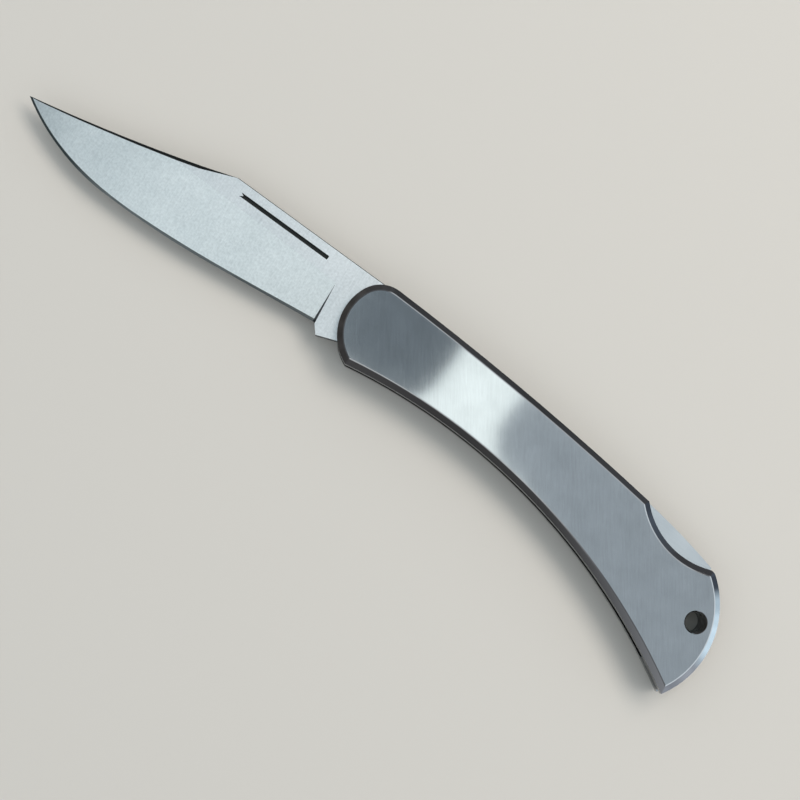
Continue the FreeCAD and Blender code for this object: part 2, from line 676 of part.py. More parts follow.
def make_blade():
    """Clip-point blade, drawn about its own middle plane."""
    body = new_body("blade")
    body.setExpression("Placement.Base.z", f"({bound(KNIFE_THICKNESS)}) / 2")
    sketch = new_sketch(body, "outline")
    blade_outline(sketch)
    stock = pad(body, sketch, "blade_thickness", side="Symmetric")
    soften(body, "spine_edge", stock, edge_names(stock.Shape, runs_along_spine), "spine_edge")

    rear, middle, front = "grind_rear_height", "grind_mid_height", "grind_front_height"
    belly_arc, slow_arc = (TIP, BELLY_MID, "belly_curve_radius"), (BELLY, STRAIGHT, "edge_radius")
    belly, belly_mid, tip = ((*corner.words, front) for corner in (BELLY, BELLY_MID, TIP))
    past_tip = edge_station("- blade_reach - tip_over", front, *belly_arc)
    near_tip = edge_station(halfway(TIP.words[0], BELLY_MID.words[0]), front, *belly_arc)

    heel = ("- heel_depth", rear)
    plunge = grind_section(body, "plunge", "- plunge_back", *heel, flush=True)
    ground = [grind_section(body, "heel", "- plunge_back - plunge_run", *heel)]
    ground += [
        grind_section(body, f"station_{number}", *station)
        for number, station in enumerate((
            [halfway(a, b) for a, b in zip((*HEEL.words, rear), (*STRAIGHT.words, middle))],
            (*STRAIGHT.words, middle),
            edge_station(halfway(STRAIGHT.words[0], BELLY.words[0]), halfway(middle, front), *slow_arc),
            belly,
            belly_mid,
            past_tip,
        ))
    ]
    for section in (plunge, ground[0]):
        section.AttachmentOffset = Placement(Vector(), Rotation(Vector(0, 1, 0), amount("plunge_slant")))
        section.setExpression("AttachmentOffset.Rotation.Angle", bound("plunge_slant"))
    grind = hollowed(body, "grind", ground)
    slope = hollowed(body, "plunge_slope", [plunge, ground[0]], ruled=True)

    half = half_blade()
    false_edge = [
        swedge_section(body, "corner", CLIP.words[0], half),
        swedge_section(body, "full", moved(CLIP.words[0], "- swedge_run"), under_swedge(half)),
    ]
    false_edge += [
        swedge_section(body, f"station_{number}", station[0], under_swedge(ground_side(*station)))
        for number, station in enumerate((belly, belly_mid, near_tip, tip, past_tip))
    ]
    swedge = hollowed(body, "swedge", false_edge, ruled=True)

    other_side = body.newObject("PartDesign::Mirrored", "blade_grind_mirrored")
    other_side.Originals = [grind, slope, swedge]
    other_side.MirrorPlane = (origin_plane(body, "XY_Plane"), [""])
    body.Tip = other_side
    doc.recompute()

    groove = new_sketch(body, "groove")
    groove.setExpression("AttachmentOffset.Base.z", "Sizes.blade_thickness / 2")
    low, high = "groove_height", "groove_height + groove_half_width + groove_half_width"
    Outline(groove).polygon([
        Corner("- groove_front", low),
        Corner("- groove_rear", low),
        Corner("- groove_rear", high),
        Corner("- groove_front", high),
        Corner("- groove_front + groove_notch", "groove_height + groove_half_width"),
    ])
    nail = body.newObject("PartDesign::Pocket", "blade_groove_cut")
    nail.Profile = groove
    nail.setExpression("Length", bound("groove_depth"))
    cut(nail)
    return body


def make_lock_bar():
    """Rocker in the back of the handle, drawn with its hook lifted and its top flush with the back."""
    body = new_body("lock_bar")
    body.setExpression("Placement.Base.z", f"({bound(KNIFE_THICKNESS)}) / 2")
    sketch = new_sketch(body, "outline")
    under_radius = "back_radius - bar_depth"
    ride = "cam_radius + hook_gap"
    top_front = on_circle("hook_front", BACK_CENTRE, amount("back_radius"))
    tail_top = Corner(TAIL_X, "tail_height")
    tail_bottom = Corner(TAIL_X, "tail_height - tail_depth")
    under_rear = on_circle(f"{BUTT_LINE} - scoop_start", BACK_CENTRE, amount(under_radius))
    under_front = on_circle("hook_rear + hook_slope", BACK_CENTRE, amount(under_radius))
    hook_rear = on_circle("hook_rear", PIVOT.point, amount(ride))
    hook_front = on_circle("hook_front", PIVOT.point, amount(ride))

    outline = Outline(sketch)
    back = outline.arc(BROW, SCOOP_START, "back_radius", -1, reference=True)
    outline.arc_about(top_front, LOOSE_SCOOP_START, "back_radius", -1, back)
    outline.arc(LOOSE_SCOOP_START, tail_top, "tail_radius", -1)
    outline.line(tail_top, tail_bottom)
    outline.line(tail_bottom, under_rear)
    outline.arc_about(under_rear, under_front, under_radius, 1, back)
    outline.line(under_front, hook_rear)
    outline.arc_about(hook_rear, hook_front, ride, 1)
    outline.line(hook_front, top_front)
    outline.close()
    outline.circle(LOCK_PIN, "lock_pin_radius + running_gap")
    pad(body, sketch, f"{SLOT} - bar_side_gap - bar_side_gap", side="Symmetric")
    return body


def leaf_outline(sketch, fit=None):
    """The leaf spring's outline, or that of its slot, which is larger by a fit."""
    under_radius = "back_radius - bar_depth - spring_gap"
    front_x = from_butt_end("spring_front")
    rear_x = from_butt_end("spring_rear")
    upper, lower = "spring_radius", "spring_radius - spring_thickness"
    tip = on_circle(front_x, BACK_CENTRE, amount(under_radius))
    root = Corner(rear_x, "- spring_rear_depth")
    bow_centre = arc_centre(tip, root, amount("spring_radius"), -1)
    if fit:
        upper, lower, rear_x = f"{upper} + {fit}", f"{lower} - {fit}", from_butt_end(f"spring_rear - {fit}")

    outline = Outline(sketch)
    back = outline.arc(BROW, SCOOP_START, "back_radius", -1, reference=True)
    under = outline.circle(Corner(None, None, BACK_CENTRE.x, BACK_CENTRE.y), under_radius, reference=True)
    outline.add("Coincident", under, 3, back, 3)
    bow = outline.arc(tip, root, "spring_radius", -1, reference=True)
    outline.add("PointOnObject", bow, 2, under)
    front_top, front_low = (on_circle(front_x, bow_centre, amount(radius)) for radius in (upper, lower))
    rear_top, rear_low = (on_circle(rear_x, bow_centre, amount(radius)) for radius in (upper, lower))
    outline.arc_about(front_top, rear_top, upper, -1, bow)
    outline.line(rear_top, rear_low)
    outline.arc_about(rear_low, front_low, lower, 1, bow)
    outline.line(front_low, front_top)
    outline.close()


def make_lock_spring():
    """Leaf spring, held in the spacer's arm, that pushes up under the lock bar behind its pin."""
    body = new_body("lock_spring")
    body.setExpression("Placement.Base.z", f"({bound(KNIFE_THICKNESS)}) / 2")
    sketch = new_sketch(body, "outline")
    leaf_outline(sketch)
    pad(body, sketch, f"{SLOT} - spring_side_gap - spring_side_gap", side="Symmetric")
    return body


def make_butt_spacer():
    """Block between the scales at the butt, with a hollow for the shut blade's tip and the spring's slot."""
    body = new_body("butt_spacer", "scale_thickness")
    sketch = new_sketch(body, "outline")
    outer = "butt_radius - spacer_recess"
    lower = "belly_radius + spacer_recess"
    sweep = "blade_reach + tip_gap"
    butt_centre = arc_centre(SCOOP_END, BUTT_CORNER, amount("butt_radius"), -1)
    belly_centre = arc_centre(BUTT_CORNER, CHIN, amount("belly_radius"), 1)
    front_x = f"{TAIL_X} + tail_gap"
    top = on_circle(front_x, butt_centre, amount(outer))
    low_corner = crossing(butt_centre, amount(outer), belly_centre, amount(lower), BUTT_CORNER)
    sweep_low = crossing(PIVOT.point, amount(sweep), belly_centre, amount(lower), BUTT_CORNER)
    foot = "lanyard_depth + lanyard_radius"
    fall = math.asin(amount(foot) / amount(sweep)) + math.radians(amount("pocket_slope"))
    fall_text = f"asin(({bound(foot)}) / ({bound(sweep)})) + Sizes.pocket_slope * 1 deg"
    drop = -amount(sweep) * math.sin(fall)
    pocket_top = (drop, f"-({bound(sweep)}) * sin({fall_text})")
    sweep_top = Corner(None, pocket_top, x=math.sqrt(amount(sweep) ** 2 - drop**2))
    arm_x = from_butt_end("arm_reach")
    arm_bottom = Corner(arm_x, "- arm_bottom")
    arm_top = Corner(arm_x, "- arm_top")
    arm_root = Corner(front_x, "- arm_root")

    outline = Outline(sketch)
    butt = outline.arc(SCOOP_END, BUTT_CORNER, "butt_radius", -1, reference=True)
    belly = outline.arc(BUTT_CORNER, CHIN, "belly_radius", 1, reference=True)
    outline.arc_about(top, low_corner, outer, -1, butt)
    outline.arc_about(low_corner, sweep_low, lower, 1, belly)
    outline.arc_about(sweep_low, sweep_top, sweep, 1)
    outline.line(sweep_top, arm_bottom)
    outline.line(arm_bottom, arm_top)
    outline.line(arm_top, arm_root)
    outline.line(arm_root, top)
    outline.close()
    outline.circle(LANYARD, "lanyard_radius")
    outline.circle(UPPER_RIVET, "rivet_radius")
    outline.circle(LOWER_RIVET, "rivet_radius")
    pad(body, sketch, SLOT)
    slot = new_sketch(body, "slot")
    leaf_outline(slot, "spring_fit")
    pocket_through(body, slot)
    return body


def make_rivet(label, place, radius):
    """A pin with both ends peened into countersinks and ground flush."""
    body = new_body(label)
    for axis, words in zip("xy", place.words):
        if words:
            body.setExpression(f"Placement.Base.{axis}", bound(words))
    sketch = new_sketch(body, "profile", "XZ_Plane")
    head = f"{radius} + head_spread"
    Outline(sketch).polygon([
        Corner(AXIS, AXIS),
        Corner(head, AXIS),
        Corner(radius, "head_spread"),
        Corner(radius, f"{KNIFE_THICKNESS} - head_spread"),
        Corner(head, KNIFE_THICKNESS),
        Corner(AXIS, KNIFE_THICKNESS),
    ])
    turned = body.newObject("PartDesign::Revolution", f"{label}_turned")
    turned.Profile = sketch
    turned.ReferenceAxis = (sketch, ["V_Axis"])
    turned.Angle = 360
    doc.recompute()
    return body


def make_washer(label, z_words):
    """A thin bronze ring between the blade's tang and a scale."""
    body = new_body(label, z_words)
    sketch = new_sketch(body, "outline")
    outline = Outline(sketch)
    outline.circle(PIVOT, "washer_radius")
    outline.circle(PIVOT, "pivot_radius + running_gap")
    pad(body, sketch, "washer_thickness")
    return body


def check(bodies):
    """Stops the script if any object failed or any piece isn't one valid solid."""
    for item in doc.Objects:
        if "Invalid" in item.State or "Error" in item.State:
            raise RuntimeError(f"{item.Name} failed: {item.State}")
    for body in bodies:
        if body.Shape.isNull() or not body.Shape.isValid() or len(body.Shape.Solids) != 1:
            raise RuntimeError(f"{body.Label} isn't one valid solid")


def main():
    bodies = [
        make_scale("front_scale", front=True),
        make_scale("back_scale", front=False),
        make_blade(),
        make_lock_bar(),
        make_lock_spring(),
        make_butt_spacer(),
        make_rivet("blade_pivot_pin", PIVOT, "pivot_radius"),
        make_rivet("lock_bar_pin", LOCK_PIN, "lock_pin_radius"),
        make_rivet("upper_spacer_rivet", UPPER_RIVET, "rivet_radius"),
        make_rivet("lower_spacer_rivet", LOWER_RIVET, "rivet_radius"),
        make_washer("front_pivot_washer", f"{MID_PLANE} - washer_thickness"),
        make_washer("back_pivot_washer", "scale_thickness"),
    ]
    doc.recompute()
    check(bodies)
    os.makedirs("parts", exist_ok=True)
    for body in bodies:
        body.Shape.exportStep(f"parts/{body.Label}.step")


main()
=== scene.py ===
import math

import bmesh
import bpy
from bpy.props import FloatProperty, FloatVectorProperty, PointerProperty
from mathutils import Matrix, Vector


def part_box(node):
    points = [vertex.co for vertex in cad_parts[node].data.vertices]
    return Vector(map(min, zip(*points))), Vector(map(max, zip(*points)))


bl_info = {
    "name": "Folding Pocket Knife",
    "version": (1, 0, 0),
    "blender": (4, 5, 0),
    "location": "3D View > Sidebar > Knife",
    "description": "Steel finishes and a studio for a lockback folding knife",
    "category": "Object",
}

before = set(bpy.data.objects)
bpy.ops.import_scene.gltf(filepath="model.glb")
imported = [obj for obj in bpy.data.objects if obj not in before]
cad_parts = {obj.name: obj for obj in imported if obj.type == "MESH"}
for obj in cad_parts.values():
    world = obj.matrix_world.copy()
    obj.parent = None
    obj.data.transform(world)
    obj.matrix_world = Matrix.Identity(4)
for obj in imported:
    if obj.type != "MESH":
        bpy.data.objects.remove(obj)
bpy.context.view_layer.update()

MM = 0.001
SCALES = ("front_scale", "back_scale")
FLUSH_PINS = ("blade_pivot_pin", "lock_bar_pin", "upper_spacer_rivet", "lower_spacer_rivet")
LOCK_PIECES = ("lock_bar", "butt_spacer")
WASHERS = ("front_pivot_washer", "back_pivot_washer")
FACE_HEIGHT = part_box("front_scale")[1].z
BLADE_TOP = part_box("blade")[1].z

# Opposite corners of a box round the inside of the nail groove, just under the blade's flat, where the
# groove's painted shade goes
GROOVE_SHADE_LOW = (-39.6 * MM, 8.05 * MM, BLADE_TOP - 0.7 * MM)
GROOVE_SHADE_HIGH = (-16.5 * MM, 9.15 * MM, BLADE_TOP - 0.03 * MM)


def size(name, default, description):
    """A length, in metres."""
    return FloatProperty(name=name, default=default, description=description, unit="LENGTH", precision=6)


def share(name, default, description):
    """A number from 0 to 1."""
    return FloatProperty(
        name=name, default=default, description=description, min=0, max=1, subtype="FACTOR"
    )


def level(name, default, description):
    """How bright a light is, where 1 is white."""
    return FloatProperty(name=name, default=default, description=description, min=0)


def turn(name, degrees, description):
    return FloatProperty(name=name, default=math.radians(degrees), description=description, subtype="ANGLE")


def colour(name, default, description):
    return FloatVectorProperty(
        name=name, default=default, description=description, min=0, max=1, subtype="COLOR"
    )


def place(name, default, description):
    return FloatVectorProperty(name=name, default=default, description=description, subtype="TRANSLATION")


class HandleFinish(bpy.types.PropertyGroup):
    """Polished steel of the scales and their flush rivets."""

    steel: colour("Steel", (0.6, 0.61, 0.615), "Polished outer faces")
    # Painted shade: the ground bevels darker than the faces
    bevel_painted_shade: colour("Bevel steel", (0.4, 0.4, 0.41), "Ground bevels")
    # Painted shade on the brink at the front end
    brink_painted_shade: colour("Brink steel", (0.12, 0.125, 0.13), "Dull brink of the face at the front end")
    # Painted shade on the upright sides and in the holes
    side_painted_shade: colour("Side steel", (0.06, 0.06, 0.062), "Unpolished upright sides and holes")
    roughness: share("Roughness", 0.06, "Blur of the reflections")
    brush_turn: turn("Brush turn", 126, "Way that the brush lines run, from the knife's length")
    brush_length: size("Brush length", 4 * MM, "Length of a brush line")
    brush_width: size("Brush width", 0.25 * MM, "Width of a brush line")
    brush_depth: size("Brush depth", 0.00006 * MM, "Depth of a brush line")


class BladeFinish(bpy.types.PropertyGroup):
    """Satin steel of the blade."""

    steel: colour("Steel", (0.66, 0.672, 0.68), "Ground satin sides")
    flat_steel: colour("Flat steel", (0.575, 0.59, 0.61), "Unground flats at the spine and the ricasso")
    # Painted shade on the false edge and the spine
    edge_painted_shade: colour("Edge steel", (0.022, 0.025, 0.025), "False edge and spine")
    # Painted shade on the sharpened bevels
    sharp_painted_shade: colour("Sharp steel", (0.06, 0.07, 0.072), "Narrow sharpened bevels")
    # Painted shade on the slope of the plunge
    plunge_painted_shade: colour("Plunge steel", (0.1, 0.105, 0.11), "Unpolished slope of the plunge")
    # Painted shade inside the nail groove
    groove_painted_shade: colour("Groove steel", (0.03, 0.032, 0.033), "Dark inside of the nail groove")
    roughness: share("Roughness", 0.36, "Blur of the reflections")
    brush_turn: turn("Brush turn", 94, "Way that the satin lines run, from the knife's length")
    brush_length: size("Brush length", 5 * MM, "Length of a satin line")
    brush_width: size("Brush width", 0.16 * MM, "Width of a satin line")
    brush_depth: size("Brush depth", 0.0006 * MM, "Depth of a satin line")


class LockFinish(bpy.types.PropertyGroup):
    """Satin steel of the lock bar and the spacer, and the spring's tempered steel."""

    steel: colour("Steel", (0.365, 0.4, 0.435), "Satin lock bar and spacer")
    # Painted shade on the upright edges of the bar and the spacer
    edge_painted_shade: colour("Edge steel", (0.2, 0.205, 0.215), "Upright edges of the bar and the spacer")
    spring_steel: colour("Spring steel", (0.42, 0.43, 0.46), "Tempered spring")
    roughness: share("Roughness", 0.33, "Blur of the reflections")
    brush_turn: turn("Brush turn", 0, "Way that the satin lines run, from the knife's length")
    brush_length: size("Brush length", 8 * MM, "Length of a satin line")
    brush_width: size("Brush width", 0.2 * MM, "Width of a satin line")
    brush_depth: size("Brush depth", 0.0015 * MM, "Depth of a satin line")


class WasherFinish(bpy.types.PropertyGroup):
    """Bronze of the pivot washers."""

    bronze: colour("Bronze", (0.65, 0.42, 0.2), "Bronze of the washers")
    roughness: share("Roughness", 0.4, "Blur of the reflections")


class StudioSettings(bpy.types.PropertyGroup):
    """Floor, lights and camera."""

    floor: colour("Floor", (0.62, 0.595, 0.56), "Pale floor")
    camera_place: place("Camera", (0.017376, -0.037076, 0.34), "Where the camera stands")
    camera_aim: place("Aim", (0.013103, -0.006151, 0.0), "Point of the floor in the middle of the picture")
    camera_turn: turn("Turn", 36.07, "Picture's horizontal, from the knife's length")
    camera_lens: FloatProperty(name="Lens", default=72.36, description="Focal length", unit="CAMERA")
    ceiling_height: size("Ceiling height", 0.9, "Height of the lit ceiling over the floor")
    ceiling_level: level("Ceiling", 1.0, "Light from the ceiling")
    room_level: level("Room", 2.0, "Light from the room around")
    key_level: level("Key", 4.5, "Soft light that throws the shadow")


class KnifeSettings(bpy.types.PropertyGroup):
    """All finishes of the knife, and the studio."""

    handle: PointerProperty(type=HandleFinish)
    blade: PointerProperty(type=BladeFinish)
    lock: PointerProperty(type=LockFinish)
    washer: PointerProperty(type=WasherFinish)
    studio: PointerProperty(type=StudioSettings)


class Nodes:
    """A node tree that is written node by node, each socket given a number, a colour or another socket."""

    def __init__(self, tree):
        self.tree = tree

    def add(self, kind, inputs=(), **settings):
        node = self.tree.nodes.new(kind)
        for name, value in settings.items():
            setattr(node, name, value)
        for name, value in dict(inputs).items():
            self.give(node.inputs[name], value)
        return node

    def give(self, socket, value):
        if isinstance(value, bpy.types.NodeSocket):
            self.tree.links.new(value, socket)
        else:
            socket.default_value = value

    def math(self, operation, first, second=0.0):
        return self.add("ShaderNodeMath", {0: first, 1: second}, operation=operation).outputs[0]

    def part(self, vector, axis):
        return self.add("ShaderNodeSeparateXYZ", {0: vector}).outputs[axis]

    def spread(self, value, span, low=0.0, high=1.0):
        """Takes a value from a span's start and end to low and high, and keeps it within them."""
        limits = {"From Min": span[0], "From Max": span[1], "To Min": low, "To Max": high}
        return self.add("ShaderNodeMapRange", {"Value": value, **limits}).outputs["Result"]

    def blend(self, factor, first, second):
        """Goes from one colour to another."""
        node = self.add("ShaderNodeMix", data_type="RGBA")
        self.give(node.inputs["Factor"], factor)
        for socket, value in zip([s for s in node.inputs if s.type == "RGBA"], (first, second)):
            self.give(socket, value)
        return next(s for s in node.outputs if s.type == "RGBA")

    def noise(self, where, scale=1.0, detail=2.0):
        inputs = {"Vector": where, "Scale": scale, "Detail": detail}
        return self.add("ShaderNodeTexNoise", inputs).outputs["Fac"]

    def stretched(self, where, direction, sizes):
        """Coordinates for a pattern that is turned about Z and as long, wide and deep as sizes say."""
        inputs = {"Vector": where, "Rotation": (0, 0, direction), "Scale": sizes}
        return self.add("ShaderNodeMapping", inputs, vector_type="TEXTURE").outputs[0]


def with_alpha(rgb):
    return (*rgb, 1.0)


def shade(rgb, factor):
    return with_alpha([min(1.0, channel * factor) for channel in rgb])


# Values between which nearly all of a noise pattern lies
NOISE_SPAN = (0.3, 0.7)


class Metal(Nodes):
    """A metal's material, with its shader and the coordinates that its patterns follow."""

    def __init__(self, name):
        self.material = bpy.data.materials.new(name)
        self.material.use_nodes = True
        super().__init__(self.material.node_tree)
        self.shader = self.tree.nodes["Principled BSDF"]
        self.shader.inputs["Metallic"].default_value = 1.0
        coordinates = self.add("ShaderNodeTexCoord").outputs
        self.where, self.facing = coordinates["Object"], coordinates["Normal"]

    def paint(self, base_colour, roughness):
        self.give(self.shader.inputs["Base Color"], base_colour)
        self.give(self.shader.inputs["Roughness"], roughness)
        return self.material


class Steel(Metal):
    """A steel with fine brush lines, faint clouds and specks, and hairline scratches."""

    SPECK = 0.5 * MM
    LINE_SHARE = 0.6
    SCRATCH_SIZES = (22 * MM, 0.16 * MM, 0.16 * MM)
    SCRATCH_TURN = math.radians(110)
    SCRATCH_SPAN = (0.74, 0.8)

    def __init__(self, name, finish, cloud=9 * MM):
        super().__init__(name)
        self.finish = finish
        sizes = (finish.brush_length, finish.brush_width, finish.brush_width)
        self.lines = self.noise(self.stretched(self.where, finish.brush_turn, sizes), detail=4.0)
        self.clouds = self.noise(self.where, scale=1 / cloud, detail=3.0)
        self.specks = self.noise(self.where, scale=1 / self.SPECK, detail=2.0)

    def towards(self, axis):
        """1 on faces that look along an axis, and -1 on faces that look the other way."""
        return self.part(self.facing, axis)

    def lean(self):
        """1 on faces that lie flat, and 0 on faces that stand upright."""
        return self.math("ABSOLUTE", self.towards("Z"))

    def inside(self, low, high):
        """1 between two opposite corners, and 0 outside."""
        within = 1.0
        for axis, start, end in zip("XYZ", low, high):
            along = self.part(self.where, axis)
            above = self.math("GREATER_THAN", along, start)
            below = self.math("LESS_THAN", along, end)
            within = self.math("MULTIPLY", within, self.math("MULTIPLY", above, below))
        return within

    def scratches(self):
        """Sparse hairlines, 1 where one runs."""
        trace = self.noise(self.stretched(self.where, self.SCRATCH_TURN, self.SCRATCH_SIZES), detail=1.0)
        return self.spread(trace, self.SCRATCH_SPAN)

    def brushed_roughness(self, swing):
        """The finish's roughness, which swings up and down along the lines and in clouds."""
        lines = self.math("MULTIPLY", self.lines, self.LINE_SHARE)
        clouds = self.math("MULTIPLY", self.clouds, 1 - self.LINE_SHARE)
        base = self.finish.roughness
        return self.spread(self.math("ADD", lines, clouds), NOISE_SPAN, base - swing, base + swing)

    def brushed_colour(self, rgb, lines=0.03, clouds=0.03, specks=0.0):
        """A colour that swings by shares of itself, along the lines, in clouds and in specks."""
        tone = 0.0
        for pattern, swing in ((self.lines, lines), (self.clouds, clouds), (self.specks, specks)):
            tone = self.math("ADD", tone, self.spread(pattern, NOISE_SPAN, -swing, swing))
        most = lines + clouds + specks
        return self.blend(self.spread(tone, (-most, most)), shade(rgb, 1 - most), shade(rgb, 1 + most))

    def paint(self, base_colour, roughness):
        inputs = {"Height": self.lines, "Strength": 1.0, "Distance": self.finish.brush_depth}
        self.give(self.shader.inputs["Normal"], self.add("ShaderNodeBump", inputs).outputs["Normal"])
        return super().paint(base_colour, roughness)


# Lean of the faces where a finish starts to give way to the next one, and where it has; each next one is
# painted shade
FACE_TO_BEVEL_SHADE = (0.88, 0.84)
FLAT_TO_UPRIGHT_SHADE = (0.5, 0.3)
SATIN_TO_EDGE_SHADE = (0.977, 0.966)

# The same by how far the faces look to the butt, along X, where the next one is again painted shade
POLISHED_TO_BRINK_SHADE = (-0.06, -0.14)
SATIN_TO_PLUNGE_SHADE = (-0.3, -0.5)

# The same by how far the faces look to the spine, along Y
GROUND_TO_FLAT = (-0.05, -0.02)
# Between the painted shade of the false edge and that of the sharpened bevels
FALSE_TO_SHARP = (-0.05, -0.15)

SCRATCH_ROUGHNESS = 0.02
GROOVE_ROUGHNESS = 0.6


def handle_steel(finish):
    """Polished on the outer faces, with painted shade on the brink in front, on the ground bevels and on
    the upright sides.
    """
    steel = Steel("polished_handle_steel", finish, cloud=5 * MM)
    lean = steel.lean()
    face = steel.brushed_colour(finish.steel, lines=0.035, clouds=0.05)
    # Painted shade: the brink in front, the ground bevels and the upright sides and holes get darker
    # colours
    in_front = steel.spread(steel.towards("X"), POLISHED_TO_BRINK_SHADE)
    brink = steel.blend(in_front, face, with_alpha(finish.brink_painted_shade))
    bevelled = steel.blend(steel.spread(lean, FACE_TO_BEVEL_SHADE), brink, with_alpha(finish.bevel_painted_shade))
    base = steel.blend(steel.spread(lean, FLAT_TO_UPRIGHT_SHADE), bevelled, with_alpha(finish.side_painted_shade))
    hairlines = steel.math("MULTIPLY", steel.scratches(), SCRATCH_ROUGHNESS)
    return steel.paint(base, steel.math("ADD", steel.brushed_roughness(swing=0.004), hairlines))


def blade_steel(finish):
    """Satin, with painted shade on the narrow edges, in the nail groove, which is also rougher, and on the
    slope at the plunge.
    """
    steel = Steel("satin_blade_steel", finish, cloud=20 * MM)
    swings = {"lines": 0.06, "clouds": 0.07, "specks": 0.08}
    ground, flat = (steel.brushed_colour(rgb, **swings) for rgb in (finish.steel, finish.flat_steel))
    to_spine = steel.towards("Y")
    satin = steel.blend(steel.spread(to_spine, GROUND_TO_FLAT), ground, flat)
    # Painted shade: darker colours on the false edge and spine, the sharpened bevels, the plunge's slope
    # and the groove
    false_edge, sharp_edge = with_alpha(finish.edge_painted_shade), with_alpha(finish.sharp_painted_shade)
    narrow = steel.blend(steel.spread(to_spine, FALSE_TO_SHARP), false_edge, sharp_edge)
    edged = steel.blend(steel.spread(steel.lean(), SATIN_TO_EDGE_SHADE), satin, narrow)
    at_plunge = steel.spread(steel.towards("X"), SATIN_TO_PLUNGE_SHADE)
    sides = steel.blend(at_plunge, edged, with_alpha(finish.plunge_painted_shade))
    in_groove = steel.inside(GROOVE_SHADE_LOW, GROOVE_SHADE_HIGH)
    base = steel.blend(in_groove, sides, with_alpha(finish.groove_painted_shade))
    dull = steel.math("MULTIPLY", in_groove, GROOVE_ROUGHNESS)
    return steel.paint(base, steel.math("MAXIMUM", steel.brushed_roughness(swing=0.05), dull))


def lock_steel(finish):
    """Satin on the sides, with painted shade on the upright edges."""
    steel = Steel("satin_lock_steel", finish)
    satin = steel.brushed_colour(finish.steel)
    # Painted shade on the upright edges
    base = steel.blend(steel.spread(steel.lean(), FLAT_TO_UPRIGHT_SHADE), satin, with_alpha(finish.edge_painted_shade))
    return steel.paint(base, steel.brushed_roughness(swing=0.04))


def spring_steel(finish):
    steel = Steel("tempered_spring_steel", finish)
    return steel.paint(steel.brushed_colour(finish.spring_steel), steel.brushed_roughness(swing=0.04))


WASHER_MOTTLE = 1.5 * MM
DARK_MOTTLE = 0.85
PALE_MOTTLE = 1.1
MOTTLE_ROUGHNESS = 0.06


def washer_bronze(finish):
    """Bronze with a mottled tone and polish."""
    bronze = Metal("washer_bronze")
    mottle = bronze.noise(bronze.where, scale=1 / WASHER_MOTTLE, detail=3.0)
    dark, pale = (shade(finish.bronze, factor) for factor in (DARK_MOTTLE, PALE_MOTTLE))
    smooth, rough = finish.roughness - MOTTLE_ROUGHNESS, finish.roughness + MOTTLE_ROUGHNESS
    tone = bronze.blend(bronze.spread(mottle, NOISE_SPAN), dark, pale)
    return bronze.paint(tone, bronze.spread(mottle, NOISE_SPAN, smooth, rough))


def cover(material, names):
    """Gives CAD nodes their material."""
    for name in names:
        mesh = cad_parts[name].data
        mesh.materials.clear()
        mesh.materials.append(material)


class KNIFE_OT_finish_handle(bpy.types.Operator):
    """Polish the scales and the rivets that are ground flush with them"""

    bl_idname = "knife.finish_handle"
    bl_label = "Finish Handle"

    def execute(self, context):
        cover(handle_steel(context.scene.knife.handle), SCALES + FLUSH_PINS)
        return {"FINISHED"}


class KNIFE_OT_finish_blade(bpy.types.Operator):
    """Give the blade its satin finish"""

    bl_idname = "knife.finish_blade"
    bl_label = "Finish Blade"

    def execute(self, context):
        cover(blade_steel(context.scene.knife.blade), ["blade"])
        return {"FINISHED"}


class KNIFE_OT_finish_lock(bpy.types.Operator):
    """Finish the lock bar, the spacer and the spring"""

    bl_idname = "knife.finish_lock"
    bl_label = "Finish Lock"

    def execute(self, context):
        finish = context.scene.knife.lock
        cover(lock_steel(finish), LOCK_PIECES)
        cover(spring_steel(finish), ["lock_spring"])
        return {"FINISHED"}


class KNIFE_OT_finish_washers(bpy.types.Operator):
    """Give the pivot washers their bronze"""

    bl_idname = "knife.finish_washers"
    bl_label = "Finish Washers"

    def execute(self, context):
        cover(washer_bronze(context.scene.knife.washer), WASHERS)
        return {"FINISHED"}


UNIT_HALF = 0.5
FLOOR_SIZE = (16.0, 16.0)
FLOOR_GAP = 0.02 * MM
FLOOR_ROUGHNESS = 0.9
FLOOR_GLOSS = 0.1
CEILING_SIZE = (1.5, 0.85)
CEILING_MIDDLE = (-0.1, -0.1)
KEY_SIZE = (1.2, 0.6)
KEY_PLACE = (0.42, 0.6, 1.06)
KEY_COLOUR = (1.0, 0.94, 0.86)
CLIP_START = 10 * MM
BLACK = (0.0, 0.0, 0.0)
UPWARD = Vector((0, 0, 1))

# Light of the ceiling, named for what mirrors it
BAND_LIGHT = (1.3, 1.43, 1.43)
SHADE_LIGHT = (0.198, 0.238, 0.272)
GREY_LIGHT = (0.41, 0.472, 0.522)
BLADE_LIGHT = (0.93, 1.12, 1.18)
TIP_LIGHT = (0.32, 0.41, 0.45)
OUTER_LIGHT = (0.3, 0.28, 0.25)

# Where these lights meet, in millimetres on the handle's outer face
SHADE_CORNER = (17.4, -7.8)
GREY_CORNER = (33.0, -6.2)
GREY_TOP = 12.0
GREY_BEND = 44.0
LOW_ROUND = 9.0
HIGH_ROUND = 4.5
SOFT_EDGE = (0.5, -0.5)
BAND_TO_OUTER = (60.0, 90.0)
HANDLE_TO_BLADE = (-8.0, -11.0)
BLADE_TO_TIP = (-50.0, -100.0)

# Light of the room by azimuth in degrees, low down, as shares of the room's level
HORIZON = (
    (-180, (0.05, 0.048, 0.045)),
    (-75, (0.045, 0.045, 0.045)),
    (-50, (0.28, 0.305, 0.34)),
    (-2, (0.28, 0.305, 0.34)),
    (9, (0.62, 0.78, 0.88)),
    (36, (0.62, 0.78, 0.88)),
    (41, (0.075, 0.093, 0.118)),
    (58, (0.053, 0.066, 0.082)),
    (78, (0.05, 0.052, 0.055)),
    (180, (0.05, 0.048, 0.045)),
)

